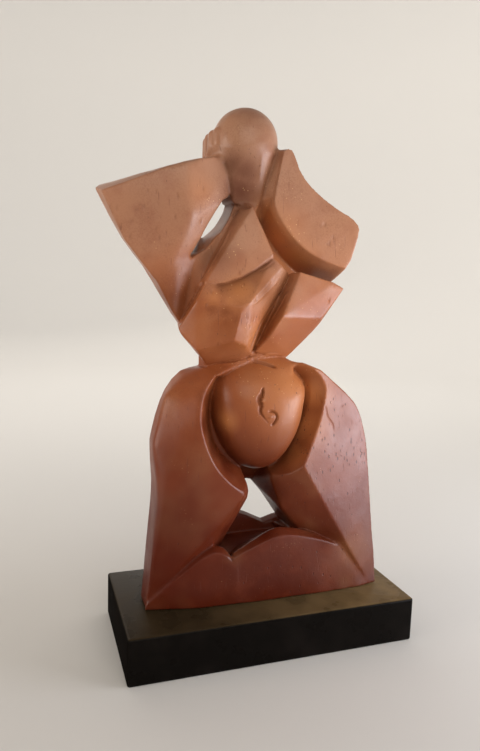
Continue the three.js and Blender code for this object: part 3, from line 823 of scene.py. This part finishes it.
def clay_wear_and_painted_light(tree, pattern, mark):
    """Painted shade on the clay, its arrises rubbed pale in patches with a painted highlight, and
    painted shade in its hollows.
    """
    # Painted shade from the marked places
    painted_shade_share = add_node(tree, "Math", {0: mark["painted_shade"], 1: 0.9}, operation="MULTIPLY")
    proud = add_node(tree, "MapRange", {
        "Value": mark["arris"], "From Min": 0.3, "From Max": 0.9,
    }, interpolation_type="SMOOTHSTEP")
    patchy = add_node(tree, "MapRange", {
        "Value": pattern["handled"], "From Min": 0.35, "From Max": 0.65, "To Min": 0.25, "To Max": 0.75,
    }, interpolation_type="SMOOTHSTEP")
    # Arrises rubbed pale, which also carry a painted highlight
    rubbed_and_highlit = add_node(tree, "Math", {0: proud, 1: patchy}, operation="MULTIPLY")
    # Painted shade in the hollows and carved cuts
    hollow_shade = add_node(tree, "Math", {0: mark["hollow"], 1: 0.55}, operation="MULTIPLY")
    return painted_shade_share, rubbed_and_highlit, hollow_shade


def clay_pores(tree, place, pattern, coarse):
    """Open pores: the middles of some upright cells, in clusters, wider and closer in coarse clay."""
    upright = add_node(tree, "Mapping", {"Vector": place, "Scale": (1, 1, 0.4)})
    cell = add_node(tree, "TexVoronoi", {"Vector": upright, "Scale": PER_MM / PORE_SPACING_MM})
    crowded = add_node(tree, "Math", {0: coarse, 1: 0.35, 2: pattern["pored"]}, operation="MULTIPLY_ADD")
    cluster = add_node(tree, "MapRange", {
        "Value": crowded, "From Min": 0.58, "From Max": 0.7,
    }, interpolation_type="SMOOTHSTEP")
    chosen = add_node(tree, "MapRange", {
        "Value": cell.outputs["Color"], "From Min": 0.25, "From Max": 0.5,
    }, interpolation_type="SMOOTHSTEP")
    open_cell = add_node(tree, "Math", {0: cluster, 1: chosen}, operation="MULTIPLY")
    away = add_node(tree, "Math", {0: coarse, 1: -0.07, 2: cell}, operation="MULTIPLY_ADD")
    middle = add_node(tree, "MapRange", {
        "Value": away, "From Min": 0.16, "From Max": 0.09,
    }, interpolation_type="SMOOTHSTEP")
    return add_node(tree, "Math", {0: middle, 1: open_cell}, operation="MULTIPLY")


def clay_grog(tree, place, pattern, painted_light):
    """Crumbs of pale grog: the middles of some cells where the clay is sandy, more of them under the painted
    light.
    """
    cell = add_node(tree, "TexVoronoi", {"Vector": place, "Scale": PER_MM / GROG_SPACING_MM})
    bared = add_node(tree, "Math", {0: painted_light, 1: 0.25, 2: pattern["sandy"]}, operation="MULTIPLY_ADD")
    sandy = add_node(tree, "MapRange", {
        "Value": bared, "From Min": 0.52, "From Max": 0.7,
    }, interpolation_type="SMOOTHSTEP")
    chosen = add_node(tree, "MapRange", {
        "Value": cell.outputs["Color"], "From Min": 0.35, "From Max": 0.65,
    }, interpolation_type="SMOOTHSTEP")
    pale_cell = add_node(tree, "Math", {0: sandy, 1: chosen}, operation="MULTIPLY")
    middle = add_node(tree, "MapRange", {
        "Value": cell, "From Min": 0.2, "From Max": 0.1,
    }, interpolation_type="SMOOTHSTEP")
    return add_node(tree, "Math", {0: middle, 1: pale_cell}, operation="MULTIPLY")


def clay_scratches(tree, place):
    """Hairline scratches of the burnishing stone: the crests of a noise drawn out along a tilted line."""
    tilted = add_node(tree, "Mapping", {
        "Vector": place, "Rotation": (0.3, 0.35, 0.2), "Scale": (1, 1, 0.06),
    })
    lines = add_node(tree, "TexNoise", {
        "Vector": tilted, "Scale": PER_MM / SCRATCH_SPACING_MM, "Detail": 1,
    })
    return add_node(tree, "MapRange", {
        "Value": lines, "From Min": 0.7, "From Max": 0.74,
    }, interpolation_type="SMOOTHSTEP")


def clay_roughness(tree, pattern, mark):
    """The burnish: satin in soft patches, duller in the hollows and shinier on the arrises."""
    satin = add_node(tree, "MapRange", {
        "Value": pattern["waxed"], "From Min": 0.3, "From Max": 0.7, "To Min": 0.33, "To Max": 0.43,
    }, interpolation_type="SMOOTHSTEP")
    duller = add_node(tree, "Math", {0: mark["hollow"], 1: 0.2, 2: satin}, operation="MULTIPLY_ADD")
    return add_node(tree, "Math", {0: mark["arris"], 1: -0.1, 2: duller}, operation="MULTIPLY_ADD")


def clay_relief(tree, pattern, pores, scratches, grog):
    """The finest relief: planing marks and grain, with pores and scratches sunk and grog proud."""
    relief = add_node(tree, "Math", {0: pattern["planed"], 1: 0.5}, operation="MULTIPLY")
    for what, height in ((pattern["grain"], 0.12), (pores, -0.6), (scratches, -0.25), (grog, 0.25)):
        relief = add_node(tree, "Math", {0: what, 1: height, 2: relief}, operation="MULTIPLY_ADD")
    return add_node(tree, "Bump", {"Height": relief, "Distance": 0.25 * MM, "Strength": 0.8})


def burnished_clay():
    """Reddish-brown terracotta, rubbed with a stone before it was fired, and waxed.

    The burnish gives a satin sheen over a mottled skin: redder and darker near the base, partly as painted
    shade, and dustier above. It is paler where arrises are rubbed and carry a painted highlight, and where
    light is painted; it is darker and duller where shade is painted and in the hollows, whose dark is
    painted shade. Dark pores, pale grog and hairline scratches break it up.
    """
    material = bpy.data.materials.new("burnished_clay")
    material.use_nodes = True
    tree = material.node_tree
    shader = tree.nodes["Principled BSDF"]
    place = add_node(tree, "TexCoord").outputs["Object"]
    mark = {name: add_node(tree, "Attribute", attribute_name=name) for name in MARKS}
    pattern = clay_patterns(tree, place)
    level = clay_level(tree, place, pattern)

    reddened, dusted, specked = clay_mottle(tree, pattern, mark["coarse"])
    painted_shade_share, rubbed_and_highlit, hollow_shade = clay_wear_and_painted_light(tree, pattern, mark)
    pores = clay_pores(tree, place, pattern, mark["coarse"])
    grog = clay_grog(tree, place, pattern, mark["painted_light"])
    scratches = clay_scratches(tree, place)
    pored = add_node(tree, "Math", {0: pores, 1: 0.75}, operation="MULTIPLY")
    higher = add_node(tree, "MapRange", {
        "Value": level, "From Min": 0.2, "From Max": 0.65, "To Min": 0.12, "To Max": 0.55,
    }, interpolation_type="SMOOTHSTEP")
    crumbed = add_node(tree, "Math", {0: grog, 1: higher}, operation="MULTIPLY")
    scratched = add_node(tree, "Math", {0: scratches, 1: 0.35}, operation="MULTIPLY")

    colour = clay_tone_and_shade(tree, level)
    # 471408 and #45190F are painted shade, #C07B49 is painted light, and #CE9E76 is rubbed arrises with a
    # painted highlight
    for share, over in (
        (reddened, "#7A3820"), (dusted, "#B08560"), (specked, "#6B3421"), (painted_shade_share, "#471408"),
        (mark["painted_light"], "#C07B49"), (rubbed_and_highlit, "#CE9E76"), (hollow_shade, "#45190F"), (pored, "#32170E"),
        (crumbed, "#E8BC86"), (scratched, "#5A2C1D"),
    ):
        colour = add_node(tree, "Mix", {0: share, 6: colour, 7: linear(over)}, data_type="RGBA")

    dulled = add_node(tree, "Math", {0: mark["painted_shade"], 1: mark["hollow"]}, operation="MAXIMUM")
    gloss = add_node(tree, "MapRange", {"Value": dulled, "To Min": 0.34, "To Max": 0.06})
    shader.inputs["IOR"].default_value = 1.47
    set_sockets(tree, shader, {
        "Base Color": colour,
        "Roughness": clay_roughness(tree, pattern, mark),
        "Specular IOR Level": gloss,
        "Normal": clay_relief(tree, pattern, pores, scratches, grog),
    })
    return material


def paint_dust_and_reflection(tree, place, scuffs):
    """Dust on the plinth's top, in patches, with a painted reflection of the lit wall that grows towards
    the right.
    """
    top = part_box("plinth")[1][2]
    axes = add_node(tree, "SeparateXYZ", {"Vector": place})
    on_top = add_node(tree, "MapRange", {
        "Value": axes.outputs["Z"], "From Min": top - 0.6 * MM, "From Max": top - 0.1 * MM,
    })
    patchy = add_node(tree, "MapRange", {
        "Value": scuffs, "From Min": 0.3, "From Max": 0.6, "To Min": 0.6, "To Max": 1,
    })
    # Painted reflection, stronger towards the right
    reflection_to_right = add_node(tree, "MapRange", {
        "Value": axes.outputs["X"], "From Min": -40 * MM, "From Max": 70 * MM, "To Min": 0.1, "To Max": 0.6,
    })
    lying = add_node(tree, "Math", {0: on_top, 1: patchy}, operation="MULTIPLY")
    return add_node(tree, "Math", {0: lying, 1: reflection_to_right}, operation="MULTIPLY")


def paint_end_grain(tree, place):
    """How dull the plinth's two ends are, where end grain drinks the paint: half a step rougher."""
    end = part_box("plinth")[1][0]
    axes = add_node(tree, "SeparateXYZ", {"Vector": place})
    outward = add_node(tree, "Math", {0: axes.outputs["X"]}, operation="ABSOLUTE")
    return add_node(tree, "MapRange", {
        "Value": outward, "From Min": end - 0.8 * MM, "From Max": end - 0.1 * MM, "To Max": DULL_END,
    })


def black_painted_wood():
    """Close-grained wood under black paint, rubbed to a satin gloss.

    A faint grain runs along the block under soft scuffs. Its two ends are matt, and pale dust with a painted
    reflection lies on its top.
    """
    material = bpy.data.materials.new("black_painted_wood")
    material.use_nodes = True
    tree = material.node_tree
    shader = tree.nodes["Principled BSDF"]
    place = add_node(tree, "TexCoord").outputs["Object"]
    along = add_node(tree, "Mapping", {"Vector": place, "Scale": (0.05, 1, 1)})
    grain = add_node(tree, "TexNoise", {"Vector": along, "Scale": PER_MM / GRAIN_SPACING_MM, "Detail": 4})
    scuffs = add_node(tree, "TexNoise", {"Vector": place, "Scale": PER_MM / SCUFF_SIZE_MM, "Detail": 5})
    scuffed = add_node(tree, "MapRange", {
        "Value": scuffs, "From Min": 0.5, "From Max": 0.75, "To Max": 0.5,
    })
    end_grain = paint_end_grain(tree, place)

    colour = linear("#0C0907")
    # 9C8058 is pale dust on the top, and a painted reflection that grows towards the right
    for share, over in ((scuffed, "#1B1613"), (paint_dust_and_reflection(tree, place, scuffs), "#9C8058")):
        colour = add_node(tree, "Mix", {0: share, 6: colour, 7: linear(over)}, data_type="RGBA")

    satin = add_node(tree, "MapRange", {
        "Value": scuffs, "From Min": 0.3, "From Max": 0.7, "To Min": 0.24, "To Max": 0.36,
    })
    gloss = add_node(tree, "MapRange", {
        "Value": end_grain, "From Max": DULL_END, "To Min": 0.12, "To Max": 0.02,
    })
    shader.inputs["IOR"].default_value = 1.3
    set_sockets(tree, shader, {
        "Base Color": colour,
        "Roughness": add_node(tree, "Math", {0: satin, 1: end_grain}, operation="ADD"),
        "Specular IOR Level": gloss,
        "Normal": add_node(tree, "Bump", {"Height": grain, "Distance": 0.08 * MM, "Strength": 0.5}),
    })
    return material


# Pieces

def make_figure():
    """The figure: a voxel skin over the solid, the belly, the skull and the lump, rubbed and carved."""
    points, faces = put_together([merged_node("figure"), belly(), skull(), lump()])
    figure = mesh_object("clay_figure", points, faces)
    apply_modifier(figure, "REMESH", mode="VOXEL", voxel_size=VOXEL)
    mesh = figure.data
    points, edges = rows_of(mesh.vertices, "co", 3), rows_of(mesh.edges, "vertices", 2, int)
    points = rub(points, edges, np.full(len(points), WEAR_SHARE), WEAR_PASSES)
    set_points(mesh, points)
    gentle = gentle_turns(points, rows_of(mesh.vertices, "normal", 3), edges)
    points = rub(points, edges, POLISH_SHARE * gentle, POLISH_PASSES)
    points = rub(points, edges, SOFT_SHARE * softness(points), SOFT_PASSES)
    set_points(mesh, points)
    normals = rows_of(mesh.vertices, "normal", 3)
    set_points(mesh, points + (hand_work(points) + carving(points))[:, None] * normals)
    count = sum(len(polygon.vertices) - 2 for polygon in mesh.polygons)
    apply_modifier(figure, "DECIMATE", ratio=min(1, MOST_TRIANGLES / count))
    note_wear_and_painted_light(figure.data)
    figure.data.materials.append(burnished_clay())
    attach(figure, "root")
    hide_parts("figure")


def make_plinth():
    """The plinth: in each octant, an inner corner of the block plus the edge's radius along a direction."""
    low, high = (np.array(corner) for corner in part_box("plinth"))
    middle, half = (low + high) / 2, (high - low) / 2
    quarter = 7
    steps = np.linspace(0, np.pi / 2, quarter)
    turn = np.concatenate([steps + k * np.pi / 2 for k in range(4)])[None, :]
    fall = np.concatenate([steps, steps + np.pi / 2])[:, None]
    octant_turn = np.repeat([[1, 1], [-1, 1], [-1, -1], [1, -1]], quarter, axis=0)
    octant_fall = np.repeat([1, -1], quarter)
    direction = np.stack([
        np.sin(fall) * np.cos(turn), np.sin(fall) * np.sin(turn), np.cos(fall) + 0 * turn,
    ], axis=-1)
    corner = np.stack([
        np.repeat(octant_turn[None, :, 0], 2 * quarter, axis=0),
        np.repeat(octant_turn[None, :, 1], 2 * quarter, axis=0),
        np.repeat(octant_fall[:, None], 4 * quarter, axis=1),
    ], axis=-1)
    points = (middle + corner * (half - PLINTH_EDGE) + PLINTH_EDGE * direction).reshape(-1, 3)
    columns = 4 * quarter
    faces = grid_faces(2 * quarter, columns)[:, ::-1].tolist()
    faces.append(list(range(columns)))
    faces.append(list(range(len(points) - columns, len(points)))[::-1])
    plinth = mesh_object("plinth_block", points, faces)
    plinth.data.materials.append(black_painted_wood())
    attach(plinth, "root")
    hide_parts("plinth")


make_camera()
make_floor()
make_lights()
make_figure()
make_plinth()
